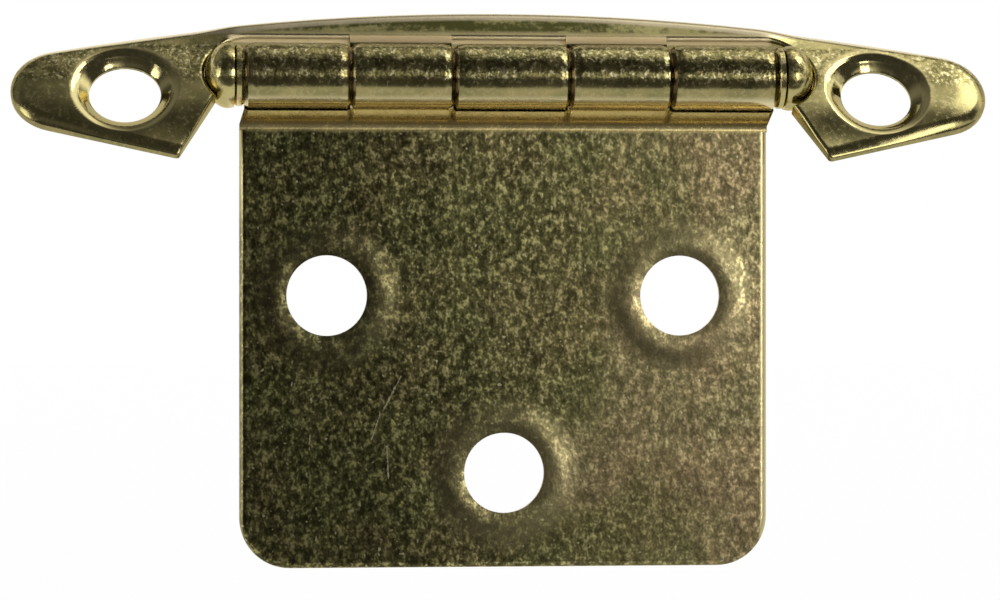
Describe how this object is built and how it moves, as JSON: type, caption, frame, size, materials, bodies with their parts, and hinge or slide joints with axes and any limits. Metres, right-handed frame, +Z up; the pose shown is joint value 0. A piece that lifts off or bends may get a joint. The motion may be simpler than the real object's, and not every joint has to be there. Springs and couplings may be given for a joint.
{
  "type": "free-swinging hinge",
  "caption": "Free-swinging cabinet hinge: lens-shaped frame wing with countersunk ears, rolled knuckle barrel, domed pin tips and a hanging square door leaf.",
  "frame": {"origin": "midpoint of the frame wing's two screw holes, on the wing's back (mounting) face", "axes": "+X along the pin, towards the right as seen from the front; +Z up, with the leaf hanging down; -Y towards the front; the wing leans back 37.5 degrees from the vertical"},
  "size_m": [0.07, 0.0087, 0.0399],
  "materials": {
    "wing_brass": "polished brass plate",
    "leaf_brass": "brass plate, finely streaked and speckled",
    "pin_brass": "polished brass plate"
  },
  "bodies": {
    "frame": {"frame_wing": "wing_brass", "hinge_pin": "pin_brass"},
    "leaf": {"door_leaf": "leaf_brass"}
  },
  "joints": [
    {"name": "leaf_swing", "type": "hinge", "parent": "frame", "child": "leaf", "pos_m": [0, 0.00051, 0.00156], "axis": [-1, 0, 0], "range_deg": [-52, 198]}
  ]
}
